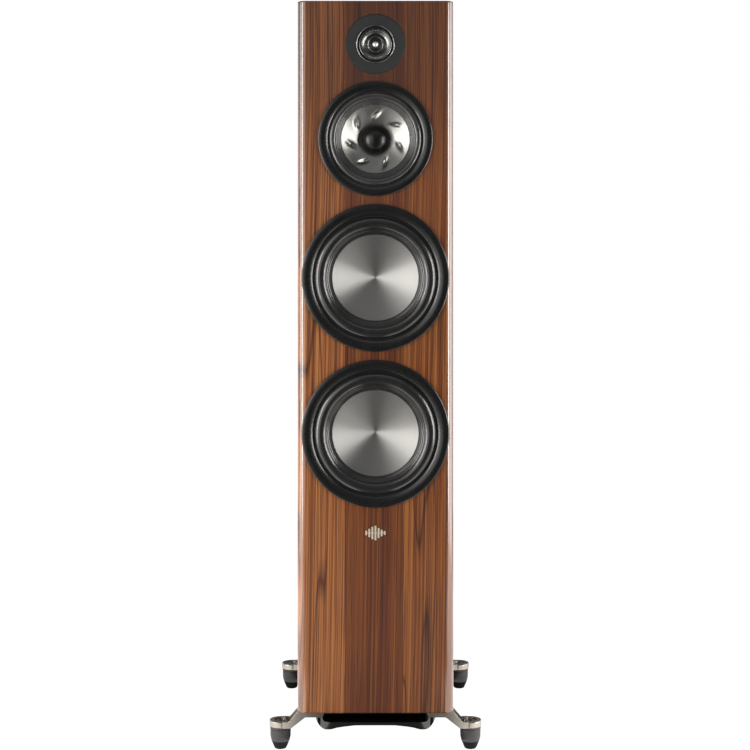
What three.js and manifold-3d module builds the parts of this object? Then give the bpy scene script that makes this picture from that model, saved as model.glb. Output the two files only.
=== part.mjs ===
// A three-way floorstanding loudspeaker: two woofers, a midrange and a ring-radiator tweeter on a
// tapered wooden cabinet, with a downward-firing port in a black plinth, four cast outrigger arms
// with screw-adjustable rubber feet, and a pair of binding posts at the back.
// Millimetres, +Z up, the front faces -Y. The origin is on the floor under the middle of the part.
import * as THREE from "three";
import { mergeVertices } from "three/addons/utils/BufferGeometryUtils.js";
import Module from "manifold-3d";

const wasm = await Module();
wasm.setup();

// ---------- driving dimensions ----------
const GAP = 0.3; // left between pieces that touch on the real object

const WIDTH = 234;
const DEPTH = 395;
const TOTAL_HEIGHT = 1128;
const CABINET_BOTTOM = 62;
const FRONT_Y = -DEPTH / 2;
const REAR_Y = DEPTH / 2;
const FRONT_CORNER = 13.5; // radius of the baffle's upright edges
const REAR_CORNER = 20;
const TAPER_START = -40; // the sides are straight up to here, then bend in
const TAPER_IN = 20; // how far each side has come in at the rear face
const BAFFLE = 25;
const REAR_PANEL = 22;
const WALL = 18;
const LID = 20;

const TWEETER_Z = 1063;
const MIDRANGE_Z = 921.5;
const UPPER_WOOFER_Z = 713.7;
const LOWER_WOOFER_Z = 480.8;
const BADGE_Z = 332.4;
const BRACE_Z = 597;
const TERMINAL_Z = 150;
const CROSSOVER_Z = 320;

const ARM_Y = 161.5; // the arms' centre lines, ahead of and behind the middle
const PAD_X = 144;
const PAD_RADIUS = 17;
const PAD_TOP = 43.1;
const PAD_BOTTOM = 33.7;
const ARM_WIDTH = 33;
const BAR_BOTTOM = 50.6;
const STUD_RADIUS = 3.9; // M8
const STUD_HOLE = 4.3;

const PLINTH_HALF_LENGTH = 181.5;
const PLINTH_FLOOR_TOP = 44;
const POST_SPACING = 38;
const POST_Z = 138;

// A cone driver: heights are measured from the baffle's face, towards the listener.
const WOOFER = {
  ringOuter: 110.3,
  ringInner: 93.5,
  flange: 107,
  bore: 97.3,
  rollOuter: 91,
  rollInner: 73.5,
  rollHeight: 6.6,
  coneEdge: 63.8, // where the surround's inner lip ends
  coneRim: 71.5,
  coneTop: -3.6,
  coneDepth: 18,
  conePower: 1.25,
  neck: 0, // the dish is closed in the middle
  rear: 52,
  basketDepth: 78,
  poleHole: 27.4,
  coilInner: 25,
  coilOuter: 26.5,
  coilTop: -18.8,
  coilBottom: -88,
  magnetInner: 32,
  magnetOuter: 66,
  magnetThickness: 20,
};
const MIDRANGE = {
  ringOuter: 86,
  ringInner: 71,
  flange: 83,
  bore: 74.3,
  rollOuter: 69.6,
  rollInner: 59.3,
  rollHeight: 4.4,
  coneEdge: 51.5,
  coneRim: 57.8,
  coneTop: -3.8,
  coneDepth: 26,
  conePower: 1.15,
  neck: 17.5,
  rear: 40,
  basketDepth: 60,
  poleHole: 20,
  coilInner: 17.8,
  coilOuter: 19.2,
  coilTop: -25.2,
  coilBottom: -69,
  magnetInner: 24,
  magnetOuter: 50,
  magnetThickness: 16,
};
const FLANGE_FACE = -1.7; // the basket flange's front face
const FLANGE_SEAT = -5.7; // and its back, in the baffle's rebate
const HOLE_PLAY = 1.8; // a basket's clearance in its hole, hidden under the trim ring
const SHEET = 1.5; // thickness of a cone
const RING_STEPS = 28; // facets round a visible ring
const HIDDEN_STEPS = 16; // and round a hidden one

// ---------- helpers ----------
function solid(geometry) {
  const bare = geometry.index ? geometry.toNonIndexed() : geometry.clone();
  for (const name of Object.keys(bare.attributes))
    if (name !== "position") bare.deleteAttribute(name);
  const merged = mergeVertices(bare, 1e-3);
  const p = merged.attributes.position;
  const faces = [];
  let volume = 0;
  const corner = (i) => new THREE.Vector3().fromBufferAttribute(p, i);
  for (let i = 0; i < merged.index.count; i += 3) {
    const [a, b, c] = [0, 1, 2].map((k) => merged.index.getX(i + k));
    if (a === b || b === c || c === a) continue;
    faces.push(a, b, c);
    volume += corner(a).dot(corner(b).cross(corner(c)));
  }
  if (volume < 0)
    for (let i = 0; i < faces.length; i += 3)
      [faces[i + 1], faces[i + 2]] = [faces[i + 2], faces[i + 1]];
  const vertProperties = new Float32Array(p.array);
  const triVerts = new Uint32Array(faces);
  return new wasm.Manifold(new wasm.Mesh({ numProp: 3, vertProperties, triVerts }));
}

function geometryOf(made) {
  const mesh = made.getMesh();
  const geometry = new THREE.BufferGeometry();
  geometry.setAttribute("position", new THREE.BufferAttribute(mesh.vertProperties, 3));
  geometry.setIndex(new THREE.BufferAttribute(mesh.triVerts, 1));
  geometry.computeVertexNormals();
  return geometry;
}

function joined(first, ...others) {
  return others.reduce((sum, next) => sum.add(next), first);
}

function cutBy(first, ...others) {
  return others.reduce((sum, next) => sum.subtract(next), first);
}

// A solid of revolution about +Y from [radius, height] points.
function turned(points, steps = RING_STEPS) {
  const closed = points[0][0] > 0 || points.at(-1)[0] > 0;
  const outline = (closed ? [...points, points[0]] : points).map(
    ([r, h]) => new THREE.Vector2(r, h),
  );
  return solid(new THREE.LatheGeometry(outline, steps));
}

function box(x, y, z, [cx, cy, cz] = [0, 0, 0]) {
  return solid(new THREE.BoxGeometry(x, y, z).translate(cx, cy, cz));
}

// A cylinder along +Y.
function rod(radius, length, [cx, cy, cz] = [0, 0, 0], steps = HIDDEN_STEPS) {
  return solid(
    new THREE.CylinderGeometry(radius, radius, length, steps).translate(cx, cy, cz),
  );
}

// The same, standing along +Z.
function upright(radius, length, [cx, cy, cz] = [0, 0, 0], steps = HIDDEN_STEPS) {
  const shape = new THREE.CylinderGeometry(radius, radius, length, steps);
  return solid(shape.rotateX(Math.PI / 2).translate(cx, cy, cz));
}

function shapeOf(points) {
  return new THREE.Shape(points.map(([x, y]) => new THREE.Vector2(x, y)));
}

// A plan outline raised from one height to another.
function raised(shape, low, high, curveSegments = 6) {
  const options = { depth: high - low, bevelEnabled: false, curveSegments };
  return solid(new THREE.ExtrudeGeometry(shape, options).translate(0, 0, low));
}

// A front-view outline (x, z) run along Y from one depth to another.
function runAlongY(shape, near, far) {
  const options = { depth: far - near, bevelEnabled: false, curveSegments: 3 };
  const geometry = new THREE.ExtrudeGeometry(shape, options);
  return solid(geometry.rotateX(Math.PI / 2).translate(0, far, 0));
}

function roundedRectangle(width, height, radius, [cx, cy] = [0, 0]) {
  const [x, y] = [width / 2, height / 2];
  const shape = new THREE.Shape();
  shape.absarc(cx + x - radius, cy + y - radius, radius, 0, Math.PI / 2);
  shape.absarc(cx - x + radius, cy + y - radius, radius, Math.PI / 2, Math.PI);
  shape.absarc(cx - x + radius, cy - y + radius, radius, Math.PI, 1.5 * Math.PI);
  shape.absarc(cx + x - radius, cy - y + radius, radius, 1.5 * Math.PI, 2 * Math.PI);
  return shape;
}

// ---------- materials ----------
const finish = (color, roughness, metalness) =>
  new THREE.MeshStandardMaterial({ color, roughness, metalness });
const materials = {
  walnut: finish("#7d4f33", 0.45, 0),
  board: finish("#b08d62", 0.8, 0),
  trim: finish("#262726", 0.5, 0),
  rubber: finish("#2e2e2e", 0.65, 0),
  aluminium: finish("#c3c3bd", 0.32, 1),
  turbine: finish("#c9c9c4", 0.3, 0.9),
  castArm: finish("#a8a49b", 0.4, 1),
  steel: finish("#8a8a88", 0.4, 1),
  ferrite: finish("#3b3b3c", 0.7, 0.2),
  copper: finish("#a5683c", 0.4, 1),
  basket: finish("#1d1d1d", 0.5, 0.3),
  softDiaphragm: finish("#202020", 0.6, 0),
  plate: finish("#2f3231", 0.55, 0),
  plug: finish("#d8d8d4", 0.2, 1),
  spiderCloth: finish("#b59a5a", 0.9, 0),
  plinth: finish("#121212", 0.25, 0),
  portTube: finish("#1b1b1b", 0.6, 0),
  gold: finish("#cfa95a", 0.25, 1),
  red: finish("#a3221f", 0.35, 0),
  black: finish("#181818", 0.35, 0),
  circuit: finish("#2f5b3a", 0.5, 0),
  badge: finish("#b9ad97", 0.3, 1),
};

const speaker = new THREE.Group();

function place(parent, name, made, material) {
  const mesh = new THREE.Mesh(geometryOf(made), materials[material]);
  mesh.name = name;
  parent.add(mesh);
  return mesh;
}

// ---------- cabinet ----------
function halfWidth(y) {
  const past = Math.max(0, y - TAPER_START) / (REAR_Y - TAPER_START);
  return WIDTH / 2 - TAPER_IN * past * past;
}

// Points down one side of the plan, from y = near to y = far, moved in by inset.
function sideLine(near, far, inset) {
  const steps = 6;
  const from = Math.max(near, TAPER_START);
  const curve = Array.from({ length: steps + 1 }, (_, i) => {
    const y = from + ((far - from) * i) / steps;
    return [halfWidth(y) - inset, y];
  });
  return near < from ? [[halfWidth(near) - inset, near], ...curve] : curve;
}

function driverHoles() {
  const depth = BAFFLE + 2;
  const holes = [
    [WOOFER, UPPER_WOOFER_Z],
    [WOOFER, LOWER_WOOFER_Z],
    [MIDRANGE, MIDRANGE_Z],
  ].flatMap(([driver, z]) => {
    const rebate = -FLANGE_SEAT + GAP;
    return [
      rod(driver.bore + HOLE_PLAY, depth, [0, FRONT_Y + BAFFLE / 2, z], RING_STEPS),
      rod(driver.flange + HOLE_PLAY, 2 * rebate, [0, FRONT_Y, z], RING_STEPS),
    ];
  });
  const tweeterDepth = 2 * (TWEETER.plateThickness - TWEETER.plateProud + GAP);
  holes.push(rod(TWEETER.hole, depth, [0, FRONT_Y + BAFFLE / 2, TWEETER_Z], RING_STEPS));
  holes.push(rod(TWEETER.plate + GAP, tweeterDepth, [0, FRONT_Y, TWEETER_Z], RING_STEPS));
  return holes;
}

function cabinet() {
  const low = CABINET_BOTTOM;
  const high = TOTAL_HEIGHT;
  const back = FRONT_Y + BAFFLE;
  const rearFace = REAR_Y - REAR_PANEL;
  const x = WIDTH / 2;

  const front = new THREE.Shape();
  front.moveTo(x, back);
  front.lineTo(-x, back);
  front.lineTo(-x, FRONT_Y + FRONT_CORNER);
  front.absarc(-x + FRONT_CORNER, FRONT_Y + FRONT_CORNER, FRONT_CORNER, Math.PI, 1.5 * Math.PI);
  front.absarc(x - FRONT_CORNER, FRONT_Y + FRONT_CORNER, FRONT_CORNER, -Math.PI / 2, 0);
  place(speaker, "front_baffle", cutBy(raised(front, low, high, 5), ...driverHoles()), "walnut");

  const rear = new THREE.Shape();
  const edge = halfWidth(rearFace);
  const corner = halfWidth(REAR_Y);
  const turn = REAR_Y - REAR_CORNER;
  rear.moveTo(-edge, rearFace);
  rear.lineTo(edge, rearFace);
  rear.lineTo(halfWidth(turn), turn);
  rear.quadraticCurveTo(corner, REAR_Y, corner - REAR_CORNER, REAR_Y);
  rear.lineTo(-corner + REAR_CORNER, REAR_Y);
  rear.quadraticCurveTo(-corner, REAR_Y, -halfWidth(turn), turn);
  const cupHole = box(CUP.width + 2 * GAP, 60, CUP.height + 2 * GAP, [0, REAR_Y, TERMINAL_Z]);
  place(speaker, "rear_panel", cutBy(raised(rear, low, high, 5), cupHole), "walnut");

  const near = back + GAP;
  const far = rearFace - GAP;
  for (const [name, sign] of [["left", -1], ["right", 1]]) {
    const outer = sideLine(near, far, 0);
    const inner = sideLine(near, far, WALL).reverse();
    const outline = [...outer, ...inner].map(([px, py]) => [sign * px, py]);
    place(speaker, `side_panel_${name}`, raised(shapeOf(outline), low, high), "walnut");
  }

  const insetLine = sideLine(near, far, WALL + GAP);
  const mirrored = insetLine.map(([px, py]) => [-px, py]).reverse();
  const plan = shapeOf([...insetLine, ...mirrored]);
  place(speaker, "top_panel", raised(plan, high - LID, high), "walnut");
  const portHole = upright(PORT.flare + HOLE_PLAY, 60, [0, 0, low], RING_STEPS);
  place(speaker, "bottom_panel", cutBy(raised(plan, low, low + LID), portHole), "board");

  const windows = [-1, 1].map((side) =>
    raised(roundedRectangle(130, 120, 25, [0, side * 82]), BRACE_Z - 20, BRACE_Z + 20, 3),
  );
  const shelf = raised(plan, BRACE_Z - WALL / 2, BRACE_Z + WALL / 2);
  place(speaker, "shelf_brace", cutBy(shelf, ...windows), "board");
}

// ---------- cone drivers ----------
function coneHeight(d, r) {
  return d.coneTop - d.coneDepth * (1 - (r / d.coneRim) ** d.conePower);
}

function ringProfile(d) {
  const steps = 5;
  const [flat, steep] = [8, 50].map(THREE.MathUtils.degToRad);
  const radius = (d.ringOuter - d.ringInner) / (Math.sin(steep) - Math.sin(flat));
  const crest = GAP + radius * (Math.cos(flat) - Math.cos(steep));
  const points = [[d.ringInner, GAP]];
  for (let i = 0; i <= steps; i++) {
    const tilt = flat + ((steep - flat) * i) / steps;
    const r = d.ringInner + radius * (Math.sin(tilt) - Math.sin(flat));
    points.push([r, crest - radius * (Math.cos(flat) - Math.cos(tilt)) + (i === steps ? 0.4 : 0)]);
  }
  points.push([d.ringOuter, GAP]);
  return points;
}

function surroundProfile(d) {
  const steps = 5;
  const middle = (d.rollOuter + d.rollInner) / 2;
  const half = (d.rollOuter - d.rollInner) / 2;
  const skin = 1.3;
  const arc = (radius, height, base) =>
    Array.from({ length: steps + 1 }, (_, i) => {
      const t = (Math.PI * i) / steps;
      return [middle + radius * Math.cos(t), base + height * Math.sin(t)];
    });
  const lip = coneHeight(d, d.coneEdge) + 0.9;
  return [
    [d.ringInner + 2.5, -0.3],
    ...arc(half, d.rollHeight, -0.3),
    [d.coneEdge, lip + 1.2],
    [d.coneEdge, lip],
    ...arc(half - skin, d.rollHeight - 0.2, -1.4).reverse(),
    [d.ringInner + 2.5, -1.4],
  ];
}

function coneProfile(d) {
  const steps = 4;
  const top = Array.from({ length: steps + 1 }, (_, i) => {
    const r = d.coneRim + ((d.neck - d.coneRim) * i) / steps;
    return [r, coneHeight(d, r)];
  });
  const under = top.map(([r, h]) => [r, h - SHEET]).reverse();
  return [...top, ...under];
}

function basket(d) {
  const ledge = -(d.basketDepth - 18);
  const profile = [
    [d.flange, FLANGE_FACE],
    [d.flange, FLANGE_SEAT],
    [d.bore - 0.4, FLANGE_SEAT],
    [d.bore - 1.5, -27],
    [d.rear + 3, ledge - 10],
    [d.rear + 3, -d.basketDepth],
    [d.poleHole, -d.basketDepth],
    [d.poleHole, -d.basketDepth + 6],
    [d.rear - 2, -d.basketDepth + 6],
    [d.rear - 2, ledge],
    [d.rear + 6, ledge],
    [d.bore - 5, -25],
    [d.bore - 6.5, FLANGE_FACE],
  ];
  const spokes = 6;
  const windows = Array.from({ length: spokes }, (_, i) => {
    const hole = new THREE.BoxGeometry(d.rear, 0.72 * (-25 - ledge), 0.62 * d.rear);
    hole.translate(d.rear * 1.45, (ledge - 25) / 2, 0);
    return solid(hole.rotateY(((i + 0.5) * 2 * Math.PI) / spokes));
  });
  return cutBy(turned(profile, HIDDEN_STEPS), ...windows);
}

function spiderProfile(d) {
  const waves = 2;
  const base = -(d.basketDepth - 18) + GAP;
  const inner = d.coilOuter + GAP;
  const outer = d.rear + 5;
  const top = [];
  for (let i = 0; i <= 2 * waves; i++) {
    const r = outer - 6 + ((inner + 2 - outer + 6) * i) / (2 * waves);
    top.push([r, base + 1.4 + (i % 2 ? 1.6 : 0)]);
  }
  const upper = [[outer, base + 1.4], ...top, [inner, base + 1.4]];
  return [...upper, ...upper.map(([r, h]) => [r, h - 1]).reverse()];
}

// Everything but the moving dish sits on one axis, turned so that local +Y points at the listener.
function driverGroup(z) {
  const group = new THREE.Group();
  group.position.set(0, FRONT_Y, z);
  group.rotation.x = Math.PI;
  speaker.add(group);
  return group;
}

function coneDriver(name, z, d, coneMaterial) {
  const group = driverGroup(z);
  const add = (piece, made, material) => place(group, `${name}_${piece}`, made, material);
  add("trim_ring", turned(ringProfile(d)), "trim");
  add("surround", turned(surroundProfile(d)), "rubber");
  add("cone", turned(coneProfile(d)), coneMaterial);
  add("basket", basket(d), "basket");
  add("spider", turned(spiderProfile(d), HIDDEN_STEPS), "spiderCloth");

  const coil = [
    [d.coilInner, d.coilTop],
    [d.coilOuter, d.coilTop],
    [d.coilOuter, d.coilBottom],
    [d.coilInner, d.coilBottom],
  ];
  add("voice_coil", turned(coil, HIDDEN_STEPS), "copper");

  const magnetFront = -d.basketDepth - GAP;
  const magnetBack = magnetFront - d.magnetThickness;
  const magnet = [
    [d.magnetInner, magnetFront],
    [d.magnetOuter, magnetFront],
    [d.magnetOuter, magnetBack],
    [d.magnetInner, magnetBack],
  ];
  add("magnet", turned(magnet, HIDDEN_STEPS), "ferrite");

  const plateFront = magnetBack - GAP;
  const vent = 7;
  const yoke = [
    [vent, -d.basketDepth + 5],
    [d.coilInner - 0.7, -d.basketDepth + 5],
    [d.coilInner - 0.7, plateFront],
    [d.magnetOuter - 6, plateFront],
    [d.magnetOuter - 6, plateFront - 8],
    [vent, plateFront - 8],
  ];
  add("yoke", turned(yoke, HIDDEN_STEPS), "steel");
  return group;
}

function midrangeExtras(group, d) {
  const radius = 20.6;
  const height = 17;
  const base = coneHeight(d, radius) + GAP;
  const steps = 6;
  const dome = (r, h) =>
    Array.from({ length: steps + 1 }, (_, i) => {
      const t = (Math.PI / 2) * (i / steps);
      return [r * Math.cos(t), base + h * Math.sin(t)];
    });
  const cap = [...dome(radius, height), ...dome(radius - 1.3, height - 1.3).reverse()];
  cap[steps][0] = 0;
  cap[steps + 1][0] = 0;
  const shell = solid(
    new THREE.LatheGeometry(
      [...cap, cap[0]].map(([r, h]) => new THREE.Vector2(r, h)),
      RING_STEPS,
    ),
  );
  place(group, "midrange_dust_cap", shell, "black");

  const [outer, wall, front, end] = [92, 6, -BAFFLE - GAP, -165];
  const can = [
    [outer - wall, front],
    [outer, front],
    [outer, end],
    [0, end],
    [0, end + wall],
    [outer - wall, end + wall],
  ];
  const shellOfCan = solid(
    new THREE.LatheGeometry(
      [...can, can[0]].map(([r, h]) => new THREE.Vector2(r, h)),
      HIDDEN_STEPS,
    ),
  );
  place(group, "midrange_enclosure", shellOfCan, "board");
}

// ---------- tweeter ----------
const TWEETER = {
  plate: 44.7,
  plateThickness: 4.5,
  plateProud: 0.6,
  hole: 35,
  lip: 28, // radius of the raised ring round the bowl
  throat: 17, // radius of the bowl's inner edge
  diaphragm: 16.2,
  plug: 4.9,
  motor: 33.5,
  motorDepth: 46,
};

function tweeter() {
  const group = driverGroup(TWEETER_Z);
  const t = TWEETER;
  const back = t.plateProud - t.plateThickness;
  const faceplate = [
    [t.plate, back],
    [t.plate, t.plateProud - 0.5],
    [t.plate - 0.5, t.plateProud],
    [t.lip + 1.4, t.plateProud],
    [t.lip + 0.6, t.plateProud + 1],
    [t.lip - 0.4, t.plateProud + 1],
    [t.lip - 1.5, t.plateProud - 0.2],
    [t.lip - 4.5, t.plateProud - 1],
    [t.throat + 3.5, t.plateProud - 1.6],
    [t.throat, back + 0.8],
    [t.throat, back],
  ];
  place(group, "tweeter_faceplate", turned(faceplate), "plate");

  // The ring diaphragm: two half rolls with the coil former hanging from the valley between them.
  const seat = back - 1.6;
  const skin = 0.7;
  const [valley, inner] = [10.6, 5.5];
  const roll = (from, to, height) =>
    Array.from({ length: 5 }, (_, i) => {
      const a = (Math.PI * i) / 4;
      return [(from + to) / 2 + ((from - to) / 2) * Math.cos(a), seat + height * Math.sin(a)];
    });
  const top = [...roll(t.diaphragm, valley + 0.7, 2.6), ...roll(valley - 0.7, inner, 2.6)];
  const under = top.map(([r, h]) => [r, h - skin]).reverse();
  const former = [
    [valley + 0.5, seat - 8],
    [valley - 0.5, seat - 8],
    [valley - 0.5, seat - skin / 2],
    [valley + 0.5, seat - skin / 2],
  ];
  const diaphragm = joined(turned([...top, ...under], HIDDEN_STEPS), turned(former, HIDDEN_STEPS));
  place(group, "tweeter_diaphragm", diaphragm, "softDiaphragm");

  const plugSteps = 6;
  const plugTop = t.plateProud + 0.4;
  const plugBase = seat - 1.4;
  const plug = [[0, plugBase], [t.plug, plugBase]];
  for (let i = 0; i <= plugSteps; i++) {
    const a = (Math.PI / 2) * (i / plugSteps);
    plug.push([
      i === plugSteps ? 0 : t.plug * Math.cos(a),
      seat + 1 + (plugTop - seat - 1) * Math.sin(a),
    ]);
  }
  place(group, "tweeter_phase_plug", turned(plug), "plug");

  const face = seat - skin - 1;
  const motor = [
    [0, face],
    [valley - 1.3, face],
    [valley - 1.3, face - 9],
    [valley + 1.3, face - 9],
    [valley + 1.3, face],
    [t.motor, face],
    [t.motor, face - 22],
    [t.motor - 3, face - 24],
    [t.motor - 3, -t.motorDepth],
    [0, -t.motorDepth],
  ];
  place(group, "tweeter_motor", turned(motor, HIDDEN_STEPS), "steel");
}

// ---------- rear terminals and crossover ----------
const CUP = { width: 110, height: 80, wall: 3, depth: 22, flange: 10 };
const CAP_PROUD = ringCrest(WOOFER); // the caps stand as far out at the back as the rings in front

function ringCrest(d) {
  return Math.max(...ringProfile(d).map(([, h]) => h));
}

function terminals() {
  const group = new THREE.Group();
  group.position.set(0, REAR_Y, 0);
  speaker.add(group);

  const floor = -CUP.depth;
  const flange = runAlongY(
    roundedRectangle(CUP.width + 2 * CUP.flange, CUP.height + 2 * CUP.flange, 8, [0, TERMINAL_Z]),
    GAP,
    GAP + 2.5,
  );
  const bodyDepth = CUP.depth + CUP.wall + GAP + 1;
  const bodyMiddle = GAP + 1 - bodyDepth / 2;
  const body = box(CUP.width, bodyDepth, CUP.height, [0, bodyMiddle, TERMINAL_Z]);
  const hollow = box(
    CUP.width - 2 * CUP.wall,
    CUP.depth + 10,
    CUP.height - 2 * CUP.wall,
    [0, floor + (CUP.depth + 10) / 2, TERMINAL_Z],
  );
  const posts = [-1, 1].map((side) => (side * POST_SPACING) / 2);
  const postHoles = posts.map((x) => rod(STUD_HOLE, 20, [x, floor, POST_Z]));
  place(group, "terminal_cup", cutBy(joined(flange, body), hollow, ...postHoles), "black");

  for (const [index, side] of ["positive", "negative"].entries()) {
    const x = posts[1 - index];
    const post = new THREE.Group();
    post.position.set(x, 0, POST_Z);
    group.add(post);
    const shoulder = floor + GAP;
    const collar = shoulder + 4 + GAP;
    const cap = collar + 3 + GAP;
    const stud = [
      [0, floor - 18],
      [STUD_RADIUS, floor - 18],
      [STUD_RADIUS, shoulder],
      [8.5, shoulder],
      [8.5, shoulder + 4],
      [STUD_RADIUS, shoulder + 4],
      [STUD_RADIUS, 0],
      [0, 0],
    ];
    place(post, `binding_post_${side}`, turned(stud, HIDDEN_STEPS), "gold");
    const washer = [
      [STUD_HOLE, collar],
      [8.3, collar],
      [8.3, collar + 3],
      [STUD_HOLE, collar + 3],
    ];
    place(post, `clamp_collar_${side}`, turned(washer, HIDDEN_STEPS), "gold");
    const knob = turned(
      [
        [STUD_HOLE, cap],
        [9.2, cap],
        [9.6, cap + 1.5],
        [9.6, CAP_PROUD - 3],
        [8.4, CAP_PROUD],
        [0, CAP_PROUD],
        [0, 1],
        [STUD_HOLE, 1],
      ],
      HIDDEN_STEPS,
    );
    const flutes = Array.from({ length: 8 }, (_, i) => {
      const a = (i * Math.PI) / 4;
      return rod(1.6, 60, [10.4 * Math.cos(a), 0, 10.4 * Math.sin(a)], 8);
    });
    const material = side === "positive" ? "red" : "black";
    place(post, `binding_cap_${side}`, cutBy(knob, ...flutes), material);
  }
}

function crossover() {
  const group = new THREE.Group();
  group.position.set(0, REAR_Y - REAR_PANEL - 10, CROSSOVER_Z);
  speaker.add(group);
  const board = box(120, 2, 170);
  const corners = [[-54, -79], [54, -79], [-54, 79], [54, 79]];
  const standoffs = corners.map(([x, z]) => rod(4, 10.2, [x, 4.6, z], 10));
  const coils = [[-28, 45], [28, 45], [-28, -12]].map(([x, z]) =>
    cutBy(rod(21, 17, [x, -9, z], 20), rod(9, 15, [x, -14, z], 12)),
  );
  const capacitors = [[24, -4], [24, -28], [24, -52]].map(([x, z]) =>
    solid(new THREE.CylinderGeometry(9, 9, 44, 12).rotateZ(Math.PI / 2).translate(x, -9, z)),
  );
  const resistors = [[-32, -45], [-32, -60], [-32, -75]].map(([x, z]) => box(34, 9, 9, [x, -5, z]));
  const made = joined(board, ...standoffs, ...coils, ...capacitors, ...resistors);
  place(group, "crossover_board", made, "circuit");
}

// ---------- port and plinth ----------
const PORT = { bore: 38, wall: 3, flare: 59.5, top: 250 };

function portTube() {
  const low = CABINET_BOTTOM + GAP;
  const p = PORT;
  const profile = [
    [p.flare - 3.5, low],
    [48.5, low + 3],
    [42, low + 12],
    [p.bore, low + 30],
    [p.bore, p.top - 18],
    [p.bore + 6, p.top],
    [p.bore + 6 + p.wall, p.top],
    [p.bore + p.wall, p.top - 20],
    [p.bore + p.wall, low + 32],
    [46, low + 15],
    [p.flare, low + 7],
    [p.flare, low],
  ];
  const mesh = place(speaker, "port_tube", turned(profile, HIDDEN_STEPS), "portTube");
  mesh.rotation.x = Math.PI / 2;
}

function plinth() {
  const top = CABINET_BOTTOM - GAP;
  const floor = PLINTH_FLOOR_TOP;
  const half = [
    [0, 39.8],
    [30, 39.7],
    [48, 38.6],
    [66, 33.6],
    [75, 32.6],
    [80.5, 33.6],
    [85.5, 36.8],
    [89.5, 42.6],
    [92.6, 50.4],
    [94, top],
    [80, top],
    [80, floor + 3],
    [77, floor],
    [0, floor],
  ];
  const mirrored = half
    .slice(1, -1)
    .map(([x, z]) => [-x, z])
    .reverse();
  const tray = runAlongY(shapeOf([...half, ...mirrored]), -PLINTH_HALF_LENGTH, PLINTH_HALF_LENGTH);
  const cone = new THREE.LatheGeometry(
    [[0, floor - 2], [50, floor - 2], [50, floor + 0.5], [34, floor + 5], [20, floor + 15],
     [9, floor + 28], [3, floor + 36], [0, floor + 37]].map(([r, h]) => new THREE.Vector2(r, h)),
    RING_STEPS,
  ).rotateX(Math.PI / 2);
  const pockets = [-1, 1].flatMap((side) =>
    [-1, 1].map((end) =>
      box(20, ARM_WIDTH + 2 * GAP, 20, [
        side * 87.5,
        end * ARM_Y,
        BAR_BOTTOM - GAP + 10,
      ]),
    ),
  );
  const splitters = [-1, 1].map((side) =>
    box(69, 3, top - floor + 2, [side * 46.5, 0, (top + floor - 2) / 2]),
  );
  const whole = joined(tray, solid(cone), ...splitters);
  place(speaker, "port_plinth", cutBy(whole, ...pockets), "plinth");
}

// ---------- outriggers and feet ----------
function outrigger(side, end) {
  const top = CABINET_BOTTOM - GAP;
  const profile = [
    [78, BAR_BOTTOM],
    [107, BAR_BOTTOM],
    [127, PAD_BOTTOM],
    [PAD_X, PAD_BOTTOM],
    [PAD_X, PAD_TOP],
    [130.3, PAD_TOP],
    [115.5, top],
    [78, top],
  ].map(([x, z]) => [side * x, z]);
  const [x, y] = [side * PAD_X, end * ARM_Y];
  const bar = runAlongY(shapeOf(profile), y - ARM_WIDTH / 2, y + ARM_WIDTH / 2);
  const thickness = PAD_TOP - PAD_BOTTOM;
  const pad = upright(PAD_RADIUS, thickness, [x, y, PAD_BOTTOM + thickness / 2], RING_STEPS);
  const slope = Math.atan2(top - PAD_TOP, 130.3 - 115.5);
  const channel = new THREE.BoxGeometry(60, ARM_WIDTH - 9, 6)
    .rotateY(side * slope)
    .translate(side * 122.9, y, (top + PAD_TOP) / 2);
  const abovePad = box(80, 60, 60, [side * 100, y, PAD_TOP + 29.6]);
  const groove = solid(channel).intersect(abovePad);
  const recess = upright(9, 6, [x, y, PAD_TOP], HIDDEN_STEPS);
  const hole = upright(STUD_HOLE, 40, [x, y, PAD_TOP], HIDDEN_STEPS);
  return cutBy(joined(bar, pad), groove, recess, hole);
}

function foot(x, y, name) {
  const bore = STUD_HOLE;
  const top = PAD_BOTTOM - GAP;
  const profile = [
    [0, 0],
    [7.9, 0],
    [8.9, 1],
    [13.9, 12.5],
    [15.2, 17.5],
    [15.4, 29],
    [15.9, 30],
    [15.9, top],
    [bore, top],
    [bore, 8],
    [0, 8],
  ];
  const rubber = place(speaker, `rubber_foot_${name}`, turned(profile, 24), "rubber");
  rubber.rotation.x = Math.PI / 2;
  rubber.position.set(x, y, 0);

  const studLow = 8 + GAP;
  const studHigh = PAD_TOP - 1.5;
  const length = studHigh - studLow;
  const body = upright(STUD_RADIUS, length, [0, 0, studLow + length / 2], 16);
  const socket = upright(2.3, 8, [0, 0, studHigh], 6);
  const stud = place(speaker, `levelling_stud_${name}`, cutBy(body, socket), "steel");
  stud.position.set(x, y, 0);
}

function supports() {
  for (const [endName, end] of [["front", -1], ["rear", 1]])
    for (const [sideName, side] of [["left", -1], ["right", 1]]) {
      const name = `${endName}_${sideName}`;
      place(speaker, `outrigger_${name}`, outrigger(side, end), "castArm");
      foot(side * PAD_X, end * ARM_Y, name);
    }
}

// ---------- badge ----------
// Seven rounded bars of different heights on a thin spine, like a level meter.
function badge() {
  const heights = [7, 13, 19, 22, 15, 10, 6];
  const pitch = 4.6;
  const [near, far] = [FRONT_Y - GAP - 1.2, FRONT_Y - GAP];
  const bars = heights.map((height, i) => {
    const x = (i - (heights.length - 1) / 2) * pitch;
    return runAlongY(roundedRectangle(2.4, height, 1, [x, BADGE_Z]), near, far);
  });
  const spine = box(pitch * (heights.length - 1), 0.7, 1.2, [0, far - 0.35, BADGE_Z]);
  place(speaker, "front_badge", joined(spine, ...bars), "badge");
}

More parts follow.
